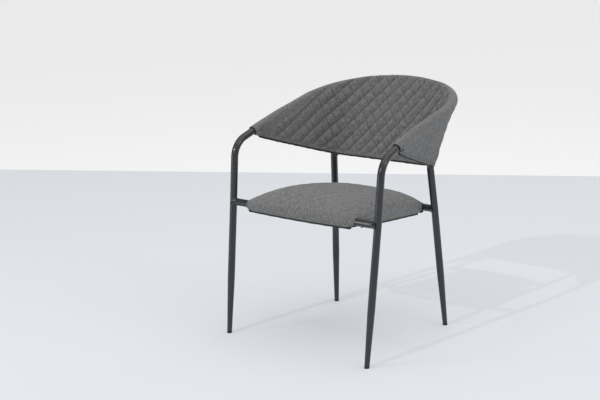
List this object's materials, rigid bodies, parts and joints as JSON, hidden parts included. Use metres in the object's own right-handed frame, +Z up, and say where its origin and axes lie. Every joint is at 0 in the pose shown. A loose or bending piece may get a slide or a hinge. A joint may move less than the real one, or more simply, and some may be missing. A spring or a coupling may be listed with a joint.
{
  "type": "dining armchair",
  "caption": "Dining armchair: welded round-tube frame with tapered splayed legs, a quilted wrap-around back and arms, and a padded quilted seat.",
  "frame": {"origin": "on the floor, under the centre of the chair's outline", "axes": "+X to the sitter's right hand, +Y from the front of the seat towards the back, +Z up"},
  "size_m": [0.56, 0.5891, 0.7642],
  "materials": {
    "frame_paint": "semi-gloss fine powder coat",
    "foot_plastic": "matte",
    "quilted_fabric": "woven melange, quilted in diamonds",
    "foam": "open-cell foam",
    "black_tape": "woven tape",
    "underside_cloth": "non-woven dust cloth",
    "webbing": "elastic webbing"
  },
  "bodies": {
    "root": {"arm_and_back_tube": "frame_paint", "front_leg_right": "frame_paint", "front_leg_left": "frame_paint", "rear_leg_right": "frame_paint", "rear_leg_left": "frame_paint", "rear_post_right": "frame_paint", "rear_post_left": "frame_paint", "front_seat_rail": "frame_paint", "rear_seat_rail": "frame_paint", "seat_side_rail_right": "frame_paint", "seat_side_rail_left": "frame_paint", "back_edge_rod": "frame_paint", "rail_welds": "frame_paint", "foot_glide_front_right": "foot_plastic", "foot_glide_front_left": "foot_plastic", "foot_glide_rear_right": "foot_plastic", "foot_glide_rear_left": "foot_plastic", "back_inner_panel": "quilted_fabric", "back_outer_panel": "quilted_fabric", "seat_cover": "quilted_fabric", "back_foam": "foam", "arm_foam_right": "foam", "arm_foam_left": "foam", "seat_foam": "foam", "back_edge_tape": "black_tape", "back_cover_tabs": "black_tape", "seat_edge_tape": "black_tape", "seat_cover_tabs": "black_tape", "seat_underside": "underside_cloth", "seat_strap_1": "webbing", "seat_strap_2": "webbing", "seat_strap_3": "webbing", "seat_strap_4": "webbing", "seat_strap_5": "webbing"}
  },
  "joints": []
}
